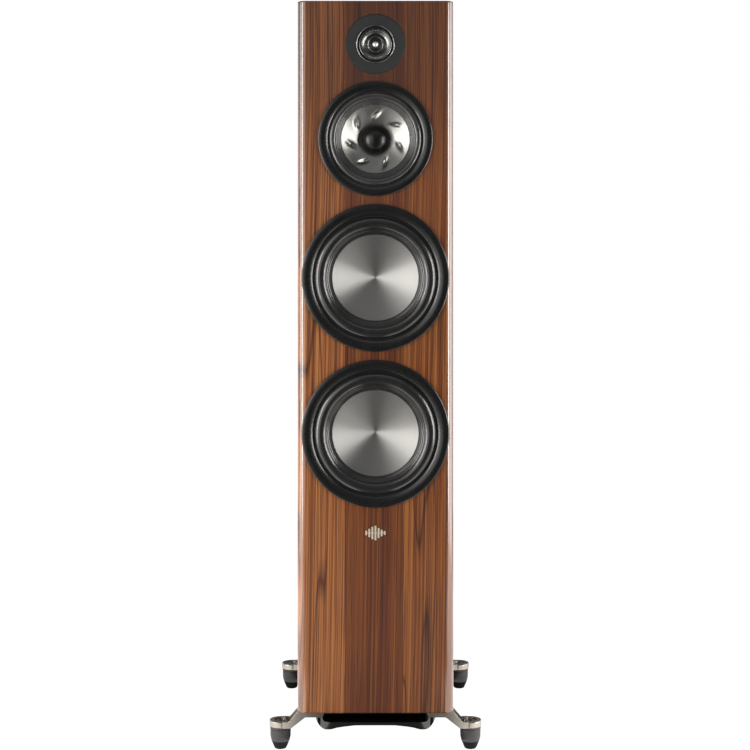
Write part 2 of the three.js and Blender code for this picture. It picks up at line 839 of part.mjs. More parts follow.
cabinet();
coneDriver("upper_woofer", UPPER_WOOFER_Z, WOOFER, "aluminium");
coneDriver("lower_woofer", LOWER_WOOFER_Z, WOOFER, "aluminium");
midrangeExtras(coneDriver("midrange", MIDRANGE_Z, MIDRANGE, "turbine"), MIDRANGE);
tweeter();
terminals();
crossover();
portTube();
plinth();
supports();
badge();

export default speaker;
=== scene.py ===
import math

import bmesh
import bpy
from mathutils import Matrix, Vector


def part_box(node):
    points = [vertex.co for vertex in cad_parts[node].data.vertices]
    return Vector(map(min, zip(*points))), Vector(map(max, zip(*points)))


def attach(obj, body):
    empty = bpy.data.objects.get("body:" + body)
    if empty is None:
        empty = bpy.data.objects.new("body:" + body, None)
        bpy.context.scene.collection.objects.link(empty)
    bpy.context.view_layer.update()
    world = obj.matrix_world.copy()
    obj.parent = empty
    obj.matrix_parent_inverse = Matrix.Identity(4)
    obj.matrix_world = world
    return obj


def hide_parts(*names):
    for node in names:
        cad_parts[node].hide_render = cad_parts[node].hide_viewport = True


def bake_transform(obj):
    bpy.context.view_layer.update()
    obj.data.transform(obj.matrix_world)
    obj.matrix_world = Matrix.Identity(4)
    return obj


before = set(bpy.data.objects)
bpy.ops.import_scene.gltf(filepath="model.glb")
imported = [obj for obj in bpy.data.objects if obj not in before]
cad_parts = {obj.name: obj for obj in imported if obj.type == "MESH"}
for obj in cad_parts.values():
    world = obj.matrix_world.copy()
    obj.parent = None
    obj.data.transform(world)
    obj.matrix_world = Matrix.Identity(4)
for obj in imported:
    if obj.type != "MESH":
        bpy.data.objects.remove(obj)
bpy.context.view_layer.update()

# A floorstanding loudspeaker. Lengths in the tables and profiles are millimetres; the scene is in
# metres, +Z up, and the speaker faces -Y.
MM = 0.001
GAP = 0.3

WIDTH = 234
FRONT_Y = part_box("front_baffle")[0].y / MM
REAR_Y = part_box("rear_panel")[1].y / MM
CABINET_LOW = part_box("front_baffle")[0].z / MM
CABINET_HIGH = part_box("front_baffle")[1].z / MM
BAFFLE = 25
REAR_PANEL = 22
WALL = 18
LID = 20
FRONT_CORNER = 13.5
REAR_CORNER = 20
TAPER_START = -40
TAPER_IN = 20

# Drivers: radii, then heights and depths from the baffle's face.
SHEET = 1.5
WOOFER = {
    "ring_outer": 110.3, "ring_inner": 93.5, "roll_outer": 90.9, "roll_inner": 73.2,
    "roll_height": 6.4, "cone_edge": 64.4, "cone_rim": 71.5, "cone_top": -3.6,
    "cone_depth": 18, "cone_power": 1.25, "beads": (1.8, 7.6), "hole": 98,
}
MIDRANGE = {
    "ring_outer": 85.8, "ring_inner": 71.0, "roll_outer": 69.3, "roll_inner": 59.0,
    "roll_height": 4.3, "cone_edge": 51.0, "cone_rim": 57.8, "cone_top": -3.8,
    "cone_depth": 26, "cone_power": 1.15, "beads": (1.4, 3.6, 5.8), "hole": 75, "neck": 17.5,
}
DRIVERS = {"upper_woofer": WOOFER, "lower_woofer": WOOFER, "midrange": MIDRANGE}
TWEETER_REBATE, REBATE_DEPTH, TWEETER_HOLE = 44.8, 4.6, 35
CUP_WIDE, CUP_TALL, CUP_DEPTH = 110, 80, 22

# The studs' and posts' thread.
PITCH, CREST, ROOT = 1.25, 3.85, 3.3

# ---------- shapes ----------
# Steps round the rings that show most, and angles in degrees above which an edge is crisp or
# gets a bevel.
FINE = 192
SHARP = 32
BEVEL_ABOVE = 40
DIRECTIONS = {
    "front": (Vector((0, -1, 0)), Vector((1, 0, 0)), Vector((0, 0, 1))),
    "back": (Vector((0, 1, 0)), Vector((-1, 0, 0)), Vector((0, 0, 1))),
    "up": (Vector((0, 0, 1)), Vector((1, 0, 0)), Vector((0, 1, 0))),
}


def centre(node):
    low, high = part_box(node)
    return (low + high) / 2


def driver_axis(node):
    """Where a driver's axis meets the baffle's face."""
    at = centre(node)
    at.y = FRONT_Y * MM
    return at


def add_object(name, bm, sharp=SHARP):
    """The bmesh becomes a smooth-shaded object whose edges over sharp degrees stay crisp."""
    bmesh.ops.remove_doubles(bm, verts=bm.verts, dist=1e-7)
    bmesh.ops.recalc_face_normals(bm, faces=bm.faces)
    mesh = bpy.data.meshes.new(name)
    bm.to_mesh(mesh)
    bm.free()
    return from_mesh(name, mesh, sharp)


def from_mesh(name, mesh, sharp=SHARP):
    mesh.shade_smooth()
    mesh.set_sharp_from_angle(angle=math.radians(sharp))
    obj = bpy.data.objects.new(name, mesh)
    bpy.context.scene.collection.objects.link(obj)
    return obj


def arc(cx, cy, rx, ry, start, end, steps):
    """Points on an ellipse from one angle to another, in degrees."""
    turns = [math.radians(start + (end - start) * i / steps) for i in range(steps + 1)]
    return [(cx + rx * math.cos(t), cy + ry * math.sin(t)) for t in turns]


def bend(start, corner, end, steps):
    """Points on a smooth curve from start to end, drawn towards the corner."""
    shares = [i / steps for i in range(steps + 1)]
    return [tuple(start * (1 - t) ** 2 + corner * 2 * t * (1 - t) + end * t * t) for t in shares]


def quarter_round(radius, steps):
    """Offsets (in, up) round a quarter circle, from its foot to its side."""
    turns = [math.radians(90 * i / steps) for i in range(steps + 1)]
    return [(radius * (1 - math.sin(t)), radius * (1 - math.cos(t))) for t in turns]


def filleted(points, radius, steps=4, closed=True):
    """The outline with its corners rounded to the radius, or as near as its sides allow."""
    made = []
    count = len(points)
    for i, point in enumerate(points):
        if not closed and i in (0, count - 1):
            made.append(point)
            continue
        here = Vector(point)
        before = Vector(points[i - 1]) - here
        after = Vector(points[(i + 1) % count]) - here
        angle = before.angle(after)
        if not 8 < math.degrees(angle) < 172:
            made.append(point)
            continue
        reach = min(radius / math.tan(angle / 2), 0.48 * before.length, 0.48 * after.length)
        start = here + before.normalized() * reach
        end = here + after.normalized() * reach
        made += bend(start, here, end, steps)
    return made


def turned(name, profile, origin, facing="front", steps=144, sharp=SHARP):
    """A closed solid of revolution from (radius, height) points; height grows the way it faces."""
    out, across, over = DIRECTIONS[facing]
    bm = bmesh.new()
    rings = []
    for radius, height in profile:
        base = Vector(origin) + out * height * MM
        if radius < 1e-6:
            rings.append([bm.verts.new(base)])
            continue
        ring = []
        for i in range(steps):
            turn = 2 * math.pi * i / steps
            spoke = across * math.cos(turn) + over * math.sin(turn)
            ring.append(bm.verts.new(base + spoke * radius * MM))
        rings.append(ring)
    pairs = list(zip(rings, rings[1:]))
    if len(rings[0]) > 1 or len(rings[-1]) > 1:
        pairs.append((rings[-1], rings[0]))
    for one, two in pairs:
        for i in range(steps):
            k = (i + 1) % steps
            corners = [one[i % len(one)], one[k % len(one)], two[k % len(two)], two[i % len(two)]]
            unique = list(dict.fromkeys(corners))
            if len(unique) > 2:
                bm.faces.new(unique)
    return add_object(name, bm, sharp)


def prism(name, outline, low, high, axis="z", bevel=0.0, steps=3):
    """An outline run along z, or a front-view (x, z) outline run along y, with soft end edges."""
    bm = bmesh.new()

    def place(u, v, depth):
        return Vector((u, v, depth) if axis == "z" else (u, depth, v)) * MM

    ends = [[bm.verts.new(place(u, v, depth)) for u, v in outline] for depth in (low, high)]
    count = len(outline)
    caps = [bm.faces.new(ends[0]), bm.faces.new(ends[1])]
    for i in range(count):
        k = (i + 1) % count
        bm.faces.new((ends[0][i], ends[0][k], ends[1][k], ends[1][i]))
    if bevel:
        edges = list({edge for cap in caps for edge in cap.edges})
        bmesh.ops.bevel(
            bm, geom=edges, offset=bevel * MM, segments=steps, profile=0.5, affect="EDGES",
        )
    return add_object(name, bm)


def rounded_rectangle(width, height, radius, cx=0.0, cy=0.0, steps=8):
    x, y = width / 2 - radius, height / 2 - radius
    corners = [(x, y, 0), (-x, y, 90), (-x, -y, 180), (x, -y, 270)]
    return [
        point
        for px, py, turn in corners
        for point in arc(cx + px, cy + py, radius, radius, turn, turn + 90, steps)
    ]


def combined(name, base, cuts=(), adds=(), keeps=()):
    """The base with other shapes added, cut away or intersected; the others are used up."""
    wanted = [("UNION", adds), ("INTERSECT", keeps), ("DIFFERENCE", cuts)]
    for operation, others in wanted:
        for other in others:
            modifier = base.modifiers.new(operation, "BOOLEAN")
            modifier.operation = operation
            modifier.solver = "EXACT"
            modifier.object = other
    bpy.context.view_layer.update()
    evaluated = base.evaluated_get(bpy.context.evaluated_depsgraph_get())
    mesh = bpy.data.meshes.new_from_object(evaluated)
    mesh.name = name
    for spent in [base, *cuts, *adds, *keeps]:
        bpy.data.objects.remove(spent)
    return from_mesh(name, mesh)


def copy_of(obj):
    made = obj.copy()
    made.data = obj.data.copy()
    bpy.context.scene.collection.objects.link(made)
    return made


def rod(radius, length, origin, facing="front", steps=96):
    """A plain cylinder centred on the origin, to cut or add with."""
    half = length / 2
    profile = [(0, -half), (radius, -half), (radius, half), (0, half)]
    return turned("rod", profile, origin, facing, steps)


def soften(obj, width, segments=2):
    """Rounds the crisp edges and keeps flat faces flat."""
    bevel = obj.modifiers.new("edge", "BEVEL")
    bevel.width = width * MM
    bevel.segments = segments
    bevel.limit_method = "ANGLE"
    bevel.angle_limit = math.radians(BEVEL_ABOVE)
    bevel.harden_normals = True
    return obj


def flatten_normals(obj):
    modifier = obj.modifiers.new("normals", "WEIGHTED_NORMAL")
    modifier.keep_sharp = True
    return obj


def fit(obj, body, material, slot, *nodes):
    """Finishes a piece: its material, the body it rides on and the CAD nodes it stands for."""
    obj.data.materials.clear()
    obj.data.materials.append(material)
    if nodes:
        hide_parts(*nodes)
    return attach(obj, body)


# ---------- materials ----------
def linear(colour):
    """A hex colour as linear red, green, blue and alpha."""
    parts = [int(colour[i : i + 2], 16) / 255 for i in (1, 3, 5)]
    return [c / 12.92 if c <= 0.04045 else ((c + 0.055) / 1.055) ** 2.4 for c in parts] + [1.0]


class Finish:
    """A Principled material and short ways to add nodes to it."""

    def __init__(self, name, **sockets):
        self.material = bpy.data.materials.new(name)
        self.material.use_nodes = True
        self.tree = self.material.node_tree
        self.shader = self.tree.nodes["Principled BSDF"]
        for socket, value in sockets.items():
            self.shader.inputs[socket.replace("_", " ")].default_value = value

    def node(self, kind, inputs=(), **settings):
        made = self.tree.nodes.new(kind)
        for key, value in settings.items():
            setattr(made, key, value)
        for socket, value in dict(inputs).items():
            if isinstance(value, bpy.types.NodeSocket):
                self.tree.links.new(value, made.inputs[socket])
            else:
                made.inputs[socket].default_value = value
        return made

    def link(self, output, socket):
        self.tree.links.new(output, self.shader.inputs[socket])

    def place(self, scale=(1, 1, 1), offset=(0, 0, 0)):
        where = self.node("ShaderNodeTexCoord").outputs["Object"]
        inputs = {"Vector": where, "Scale": scale, "Location": offset}
        return self.node("ShaderNodeMapping", inputs).outputs["Vector"]

    def noise(self, vector, scale, detail=3.0, roughness=0.5):
        inputs = {"Vector": vector, "Scale": scale, "Detail": detail, "Roughness": roughness}
        return self.node("ShaderNodeTexNoise", inputs).outputs["Fac"]

    def math(self, operation, one, two=0.0):
        return self.node("ShaderNodeMath", {0: one, 1: two}, operation=operation).outputs[0]

    def weighed(self, one, share, two):
        """One value by its share plus the other by the rest."""
        rest = self.math("MULTIPLY", two, 1 - share)
        return self.math("ADD", self.math("MULTIPLY", one, share), rest)

    def span(self, value, from_low, from_high, to_low, to_high):
        inputs = {"Value": value, 1: from_low, 2: from_high, 3: to_low, 4: to_high}
        return self.node("ShaderNodeMapRange", inputs).outputs["Result"]

    def ramp(self, value, *stops, kind="LINEAR"):
        made = self.node("ShaderNodeValToRGB", {"Fac": value})
        made.color_ramp.interpolation = kind
        elements = made.color_ramp.elements
        while len(elements) < len(stops):
            elements.new(0.5)
        for element, (position, colour) in zip(elements, stops):
            element.position = position
            element.color = linear(colour)
        return made.outputs["Color"]

    def darkened(self, one, two, factor):
        """One colour multiplied by another, as far as the factor says."""
        made = self.node("ShaderNodeMix", data_type="RGBA", blend_type="MULTIPLY")
        for socket, value in ((0, factor), (6, one), (7, two)):
            if isinstance(value, bpy.types.NodeSocket):
                self.tree.links.new(value, made.inputs[socket])
            else:
                made.inputs[socket].default_value = value
        return made.outputs[2]

    def bump(self, height, strength, distance):
        inputs = {"Height": height, "Strength": strength, "Distance": distance * MM}
        self.link(self.node("ShaderNodeBump", inputs).outputs["Normal"], "Normal")


def moulded(name, dark, light, rough, grain=1600, depth=0.02, strength=0.35, **sockets):
    """Plastic, rubber, paint or cast metal: cloudy colour, uneven gloss and a fine grain."""
    made = Finish(name, **sockets)
    where = made.place()
    cloud = made.noise(where, 38, 4, 0.6)
    fine = made.noise(where, grain, 2, 0.5)
    made.link(made.ramp(cloud, (0.3, dark), (0.7, light)), "Base Color")
    uneven = made.weighed(cloud, 0.6, fine)
    made.link(made.span(uneven, 0.3, 0.7, *rough), "Roughness")
    made.bump(fine, strength, depth)
    return made.material


def brushed(name, dark, light, rough, stretch, **sockets):
    """Drawn or machined metal: fine lines drawn out along the axes where stretch is small."""
    made = Finish(name, Metallic=1.0, **sockets)
    lines = made.noise(made.place(stretch), 900, 3, 0.6)
    made.link(made.ramp(lines, (0.35, dark), (0.65, light)), "Base Color")
    made.link(made.span(lines, 0.3, 0.7, *rough), "Roughness")
    made.bump(lines, 0.25, 0.02)
    return made.material


# The veneer's leaves: their width, where one ends, their tints in turn and the first one's place
# in that turn. WRAP is how fast the grain's lines pass as the surface runs back from the front.
LEAF = 87 * MM
LEAF_EDGE = 46 * MM
LEAF_TINTS = ("#efece0", "#a38652", "#c2b08c", "#cfcac4", "#b0a79d")
FIRST_LEAF = 6.1
WRAP = 0.9
SWAY = 0.05


def walnut(name, along):
    """Straight-grained walnut veneer in matched leaves, its grain along z or, on the top, y."""
    made = Finish(name, Coat_Weight=1.0, Coat_Roughness=0.15, Coat_IOR=1.8)
    where = made.place()
    parts = made.node("ShaderNodeSeparateXYZ", {"Vector": where}).outputs
    back = made.math("MULTIPLY", made.math("SUBTRACT", parts["Y"], FRONT_Y * MM), WRAP)
    across = made.math("ADD", parts["X"], back) if along == "z" else parts["X"]
    leaf = made.math("FLOOR", made.math("DIVIDE", made.math("ADD", across, LEAF_EDGE), LEAF))
    turn = made.math("DIVIDE", made.math("ADD", leaf, FIRST_LEAF), len(LEAF_TINTS))
    cycle = made.math("FRACT", turn)
    drift = made.noise(where, 1.3, 0, 0.5)
    sway = made.math("MULTIPLY", made.math("SUBTRACT", drift, 0.5), SWAY)
    swayed = made.math("ADD", across, sway)
    # Each leaf is cut from its own place in the noise.
    seed = made.math("ADD", made.math("MULTIPLY", leaf, 0.37), 1.9)

    def drawn_out(by):
        inputs = {"X": swayed, "Y": seed, "Z": made.math("MULTIPLY", parts[along.upper()], by)}
        return made.node("ShaderNodeCombineXYZ", inputs).outputs[0]

    figure = made.noise(drawn_out(0.01), 50, 3, 0.6)
    streaks = made.noise(drawn_out(0.003), 300, 3, 0.7)
    pores = made.noise(drawn_out(0.007), 850, 2, 0.6)
    colour = made.ramp(
        made.weighed(figure, 0.27, streaks),
        (0.34, "#592f15"), (0.43, "#83481f"), (0.52, "#ab6b3a"), (0.62, "#c98e58"),
    )
    vein = made.noise(drawn_out(0.06), 13, 2, 0.5)
    crossing = made.math("ABSOLUTE", made.math("SUBTRACT", vein, 0.5))
    colour = made.darkened(colour, made.ramp(crossing, (0.0015, "#6a4028"), (0.006, "#ffffff")), 0.85)
    colour = made.darkened(colour, made.ramp(pores, (0.37, "#7c5b44"), (0.5, "#ffffff")), 0.8)
    tints = [(i / len(LEAF_TINTS), tint) for i, tint in enumerate(LEAF_TINTS)]
    tint = made.ramp(cycle, *tints, kind="CONSTANT")
    colour = made.darkened(colour, tint, 1.0)
    # Painted shade: above 0.6 m the veneer is darkened to stand in for less light reaching the
    # cabinet's top.
    painted_top_shade = made.ramp(
        parts["Z"], (0.0, "#ffffff"), (0.6, "#ffffff"), (0.84, "#f2efed"), (1.0, "#c4bdb7"),
    )
    colour = made.darkened(colour, painted_top_shade, 1.0)
    made.link(colour, "Base Color")
    made.link(made.span(pores, 0.3, 0.7, 0.5, 0.38), "Roughness")
    made.bump(made.math("ADD", made.math("MULTIPLY", pores, 0.7), streaks), 0.1, 0.03)
    return made.material


def spun(name, axis_z, dark, light, rough, anisotropy, groove):
    """Metal turned in a lathe: fine grooves round a driver's axis, which shine in two fans."""
    made = Finish(name, Metallic=1.0, Anisotropic=anisotropy, Anisotropic_Rotation=0.25)
    where = made.place((1, 0, 1), (0, 0, -axis_z))
    radius = made.node("ShaderNodeVectorMath", {0: where}, operation="LENGTH").outputs["Value"]
    rings = made.node(
        "ShaderNodeTexNoise", {"W": radius, "Scale": 2600, "Detail": 2.0}, noise_dimensions="1D",
    ).outputs["Fac"]
    made.link(made.ramp(rings, (0.3, dark), (0.7, light)), "Base Color")
    made.link(made.span(rings, 0.3, 0.7, *rough), "Roughness")
    inputs = {"Height": rings, "Strength": groove, "Distance": 0.03 * MM}
    normal = made.node("ShaderNodeBump", inputs).outputs["Normal"]
    made.link(normal, "Normal")
    tangent = made.node("ShaderNodeTangent", direction_type="RADIAL", axis="Y")
    made.link(tangent.outputs["Tangent"], "Tangent")
    return made.material


walnut_upright = walnut("walnut_upright", "z")
walnut_top = walnut("walnut_top", "y")
fibreboard = moulded("fibreboard", "#9c7b54", "#b8946a", (0.75, 0.9), 700, 0.05)
ring_plastic = moulded(
    "ring_plastic", "#0a0b0b", "#0e0f0f", (0.25, 0.3), 1900, 0.003, 0.08, Specular_IOR_Level=0.7,
)
surround_rubber = moulded(
    "surround_rubber", "#161616", "#1c1c1c", (0.2, 0.28), 1500, 0.004, 0.2, Specular_IOR_Level=0.95,
)
satin_rubber = moulded(
    "satin_rubber", "#2a2a2a", "#323232", (0.2, 0.28), 1500, 0.006, 0.2, Specular_IOR_Level=0.9,
)
foot_rubber = moulded("foot_rubber", "#2b2a2c", "#363537", (0.45, 0.58), 1200, 0.03)
# Painted shade: a darker copy of the foot rubber for the rear feet, which stand in the cabinet's
# shadow.
rear_rubber_painted_shade = moulded("rear_rubber_painted_shade", "#0d0d0e", "#141415", (0.45, 0.58), 1200, 0.03)
gloss_black = moulded("gloss_black", "#060606", "#0a0a0a", (0.29, 0.35), 900, 0.003, 0.2)
matt_plate = moulded("matt_plate", "#1a1d1c", "#212423", (0.5, 0.6), 2200, 0.015)
waveguide_black = moulded(
    "waveguide_black", "#6a6a68", "#7a7a78", (0.24, 0.31), 1200, 0.003, 0.2, Metallic=1.0,
)
rim_metal = moulded("rim_metal", "#8b8b89", "#9f9f9d", (0.15, 0.22), 1500, 0.003, 0.2, Metallic=1.0)
recess_black = moulded("recess_black", "#090909", "#0e0e0e", (0.3, 0.4), 1200, 0.006, 0.2)
soft_diaphragm = moulded("soft_diaphragm", "#101011", "#171718", (0.25, 0.34), 2600, 0.008)
plinth_black = moulded(
    "plinth_black", "#050505", "#0a0a0a", (0.1, 0.16), 700, 0.005, 0.2, Specular_IOR_Level=1.0,
)
port_black = moulded("port_black", "#121212", "#1b1b1b", (0.5, 0.62), 1100, 0.03)
basket_paint = moulded("basket_paint", "#151515", "#1f1f1f", (0.45, 0.6), 900, 0.04)
cap_red = moulded("cap_red", "#7c1512", "#9a1f1b", (0.25, 0.34), 900, 0.008, 0.2)
cap_black = moulded("cap_black", "#0e0e0e", "#161616", (0.25, 0.34), 900, 0.008, 0.2)
tick_paint = moulded("tick_paint", "#b4b6b4", "#d0d2d0", (0.45, 0.55), 1400, 0.01)
ferrite = moulded("ferrite", "#2c2c2d", "#39393a", (0.6, 0.75), 800, 0.06)
spider_cloth = moulded("spider_cloth", "#a58a4c", "#c2a766", (0.8, 0.95), 1300, 0.08)
circuit_green = moulded("circuit_green", "#27503a", "#356349", (0.4, 0.6), 260, 0.1)
cast_alloy = moulded(
    "cast_alloy", "#9d978f", "#b0aba3", (0.28, 0.36), 1500, 0.012, 0.35, Metallic=1.0,
)
turbine_silver = moulded(
    "turbine_silver", "#848481", "#999996", (0.3, 0.38), 1500, 0.01, 0.3, Metallic=1.0,
)
badge_metal = moulded("badge_metal", "#cbbfa9", "#ddd2bd", (0.35, 0.45), 1500, 0.01, Metallic=0.3)
stud_steel = brushed("stud_steel", "#7d7d7c", "#b0b0ae", (0.18, 0.3), (1, 1, 0.1))
insert_chrome = brushed("insert_chrome", "#8f8f8f", "#c8c8c8", (0.1, 0.2), (1, 1, 1))
plug_chrome = brushed("plug_chrome", "#dcdcd8", "#f4f4f0", (0.42, 0.52), (1, 0.1, 1))
gold_plate = brushed("gold_plate", "#b98f45", "#e0bb72", (0.14, 0.24), (1, 0.1, 1))
yoke_steel = brushed("yoke_steel", "#77787a", "#9c9c9c", (0.35, 0.5), (1, 1, 1))
copper_wire = brushed("copper_wire", "#8f4f28", "#c0764a", (0.3, 0.45), (0.05, 1, 0.05))


# ---------- cabinet ----------
def half_width(y):
    """Half the cabinet's width, which tapers in behind TAPER_START."""
    past = max(0.0, y - TAPER_START) / (REAR_Y - TAPER_START)
    return WIDTH / 2 - TAPER_IN * past * past


def side_line(near, far, inset):
    """Points down the right side, (x, y), moved in by inset."""
    steps = 28
    start = max(near, TAPER_START)
    points = [(half_width(near) - inset, near)] if near < start else []
    for i in range(steps + 1):
        y = start + (far - start) * i / steps
        points.append((half_width(y) - inset, y))
    return points


def mirrored(points):
    return [(-x, y) for x, y in reversed(points)]


def plan():
    """The cabinet's outline seen from above."""
    corner_x = WIDTH / 2 - FRONT_CORNER
    corner_y = FRONT_Y + FRONT_CORNER
    right = arc(corner_x, corner_y, FRONT_CORNER, FRONT_CORNER, -90, 0, 18)
    right += side_line(corner_y, REAR_Y - REAR_CORNER, 0)[1:]
    corner = Vector((half_width(REAR_Y), REAR_Y))
    right += bend(Vector(right[-1]), corner, corner - Vector((REAR_CORNER, 0)), 12)[1:]
    return right + mirrored(right)


def shell():
    """The whole cabinet as one solid with softened lower and upper edges."""
    outline = plan()
    lower_edge, upper_edge = 3.0, 2.2
    levels = [(CABINET_LOW + up, inset) for inset, up in quarter_round(lower_edge, 7)]
    levels += [(CABINET_HIGH - down, inset) for inset, down in quarter_round(upper_edge, 6)]
    bm = bmesh.new()
    rows = []
    for z, inset in sorted(levels):
        rows.append([bm.verts.new(Vector((x, y, z)) * MM) for x, y in shrunk(outline, inset)])
    bm.faces.new(rows[0])
    bm.faces.new(rows[-1])
    count = len(outline)
    for one, two in zip(rows, rows[1:]):
        for i in range(count):
            k = (i + 1) % count
            bm.faces.new((one[i], one[k], two[k], two[i]))
    return add_object("shell", bm, 40)


def shrunk(outline, inset):
    """The outline moved inwards along its own normals."""
    if inset < 1e-9:
        return outline
    made = []
    count = len(outline)
    for i, point in enumerate(outline):
        before, after = Vector(outline[i - 1]), Vector(outline[(i + 1) % count])
        along = (after - before).normalized()
        made.append((point[0] - along.y * inset, point[1] + along.x * inset))
    return made


def block(x0, x1, y0, y1, z0, z1):
    """A plain box, to cut or keep with."""
    outline = [(x0, y0), (x1, y0), (x1, y1), (x0, y1)]
    return prism("block", outline, z0, z1)


def cabinet():
    """The panels, each cut out of the same shell."""
    whole = shell()
    back = FRONT_Y + BAFFLE
    rear = REAR_Y - REAR_PANEL
    low, high = CABINET_LOW - 20, CABINET_HIGH + 20
    beyond = 200
    through = 80

    holes = [
        rod(driver["hole"], through, driver_axis(name + "_cone")) for name, driver in DRIVERS.items()
    ]
    at = driver_axis("tweeter_faceplate")
    holes.append(rod(TWEETER_REBATE, 2 * REBATE_DEPTH, at, steps=144))
    holes.append(rod(TWEETER_HOLE, through, at, steps=144))
    keep = block(-beyond, beyond, FRONT_Y - 50, back, low, high)
    baffle = combined("front_baffle_veneer", copy_of(whole), holes, keeps=[keep])
    fit(flatten_normals(baffle), "cabinet", walnut_upright, "walnut", "front_baffle")

    at = centre("terminal_cup") / MM
    wide, tall = CUP_WIDE / 2 + 0.5, CUP_TALL / 2 + 0.5
    cup_hole = block(at.x - wide, at.x + wide, rear - 30, REAR_Y + 30, at.z - tall, at.z + tall)
    keep = block(-beyond, beyond, rear, REAR_Y + 50, low, high)
    panel = combined("rear_panel_veneer", copy_of(whole), [cup_hole], keeps=[keep])
    fit(flatten_normals(panel), "cabinet", walnut_upright, "walnut", "rear_panel")

    inner = side_line(back, rear, WALL)
    outer = [(beyond, rear), (beyond, back)]
    for name, outline in (
        ("right", inner + outer),
        ("left", [(-x, y) for x, y in inner + outer]),
    ):
        keep = prism("keep", outline, low, high)
        panel = combined(f"side_panel_{name}_veneer", copy_of(whole), keeps=[keep])
        fit(flatten_normals(panel), "cabinet", walnut_upright, "walnut", "side_panel_" + name)

    inside_walls = inner + mirrored(inner)
    keep = prism("keep", inside_walls, CABINET_HIGH - LID, high)
    lid = combined("top_panel_veneer", copy_of(whole), keeps=[keep])
    fit(flatten_normals(lid), "cabinet", walnut_top, "walnut", "top_panel")

    hole = rod(61, 100, (0, 0, CABINET_LOW * MM), "up")
    keep = prism("keep", inside_walls, low, CABINET_LOW + LID)
    base = combined("bottom_panel_board", whole, [hole], keeps=[keep])
    fit(flatten_normals(base), "cabinet", fibreboard, "board", "bottom_panel")


# ---------- drivers ----------
def cone_height(driver, r):
    """How far the cone's face lies from the baffle's face at this radius."""
    share = (max(r, 0.0) / driver["cone_rim"]) ** driver["cone_power"]
    return driver["cone_top"] - driver["cone_depth"] * (1 - share)


def trim_ring(name, driver, at):
    """A rounded ring, highest part way in, whose face falls away to its bore and its rim."""
    lean_in, lean_out, easing, steps = 33, 10, 1.15, 30
    edge, lip, outer_height = 2.0, 0.7, 4.2
    bore, rim = driver["ring_inner"], driver["ring_outer"]
    start = bore + lip
    step = (rim - edge - start) / steps
    height = outer_height
    face = [(start + step * steps, height)]
    for i in reversed(range(steps)):
        share = (i + 0.5) / steps
        tilt = math.radians(lean_out - (lean_in + lean_out) * (1 - share) ** easing)
        height += step * math.tan(tilt)
        face.insert(0, (start + step * i, height))
    rounding = arc(rim - edge, outer_height - edge, edge, edge, 74, 0, 7)
    outline = [(bore, GAP), (bore, face[0][1] - lip), *face, *rounding, (rim, GAP)]
    ring = turned(name + "_bezel", outline, at, steps=FINE)
    fit(ring, "cabinet", ring_plastic, "trim_black", name + "_trim_ring")


def surround(name, driver, at):
    """The rubber roll, its flange under the trim ring and its beaded foot on the cone."""
    skin, steps = 1.0, 24
    base = -0.4
    bead_width, bead_height = 0.55, 0.4
    roll_outer, roll_inner, tip = driver["roll_outer"], driver["roll_inner"], driver["cone_edge"]
    middle, half = (roll_outer + roll_inner) / 2, (roll_outer - roll_inner) / 2
    flange = driver["ring_inner"] + 2.3
    rim = roll_inner - 0.6
    landing = cone_height(driver, rim) + 2.2
    over = [
        (flange, base),
        (roll_outer + 0.5, base),
        *arc(middle, base, half, driver["roll_height"] + 0.3, 4, 172, 30),
        (roll_inner - 0.1, landing + 0.2),
        (rim, landing),
    ]
    for i in range(1, steps + 1):
        r = rim + (tip + 0.4 - rim) * i / steps
        beads = sum(math.exp(-(((rim - r - bead) / bead_width) ** 2)) for bead in driver["beads"])
        over.append((r, cone_height(driver, r) + 2.0 - 0.5 * i / steps + bead_height * beads))
    over.append((tip, cone_height(driver, tip) + 0.95))
    over.append((tip + 0.1, cone_height(driver, tip) + 0.55))
    under = [
        (rim, cone_height(driver, rim) + 0.6),
        *arc(middle, base - skin, half - skin, driver["roll_height"], 172, 4, 20),
        (flange, base - skin),
    ]
    piece = turned(name + "_surround_rubber", over + under, at, steps=FINE)
    piece.data.materials.append(satin_rubber if name == "midrange" else surround_rubber)
    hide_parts(name + "_surround")
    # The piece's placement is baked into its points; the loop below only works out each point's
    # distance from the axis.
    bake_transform(piece)
    for vertex in piece.data.vertices:
        r = math.hypot(vertex.co.x, vertex.co.z - at.z) / MM


def woofer_cone(name, driver, at):
    """One spun dish from edge to middle, with no dust cap."""
    steps = 44
    radii = [driver["cone_rim"] * (1 - i / steps) for i in range(steps + 1)]
    top = [(r, cone_height(driver, r)) for r in radii]
    under = [(r, h - SHEET) for r, h in reversed(top)]
    dish = turned(name + "_dish", top + under, at, steps=FINE, sharp=40)
    metal = spun(name + "_spun_metal", at.z, "#a9a8a6", "#b9b8b5", (0.38, 0.46), 0.74, 0.5)
    fit(dish, name + "_moving", metal, "cone_metal", name + "_cone")


DIMPLES = 7
FIRST_DIMPLE = 36
DIMPLE_RADIUS = 38
DIMPLE_WIDE, DIMPLE_LONG, DIMPLE_DEEP = 3.9, 5.6, 3.3
SPIRAL = 0.018


def dimple(r, turn):
    """The share of a dimple's full depth at this radius and angle of the midrange cone."""
    deepest = 0.0
    for i in range(DIMPLES):
        lean = math.radians(FIRST_DIMPLE + 360 / DIMPLES * i) + (DIMPLE_RADIUS - r) * SPIRAL
        off = (turn - lean + math.pi) % (2 * math.pi) - math.pi
        across = off * r / DIMPLE_WIDE
        along = (r - DIMPLE_RADIUS) / DIMPLE_LONG
        deepest = max(deepest, math.exp(-(across**2) - along**2))
    return deepest


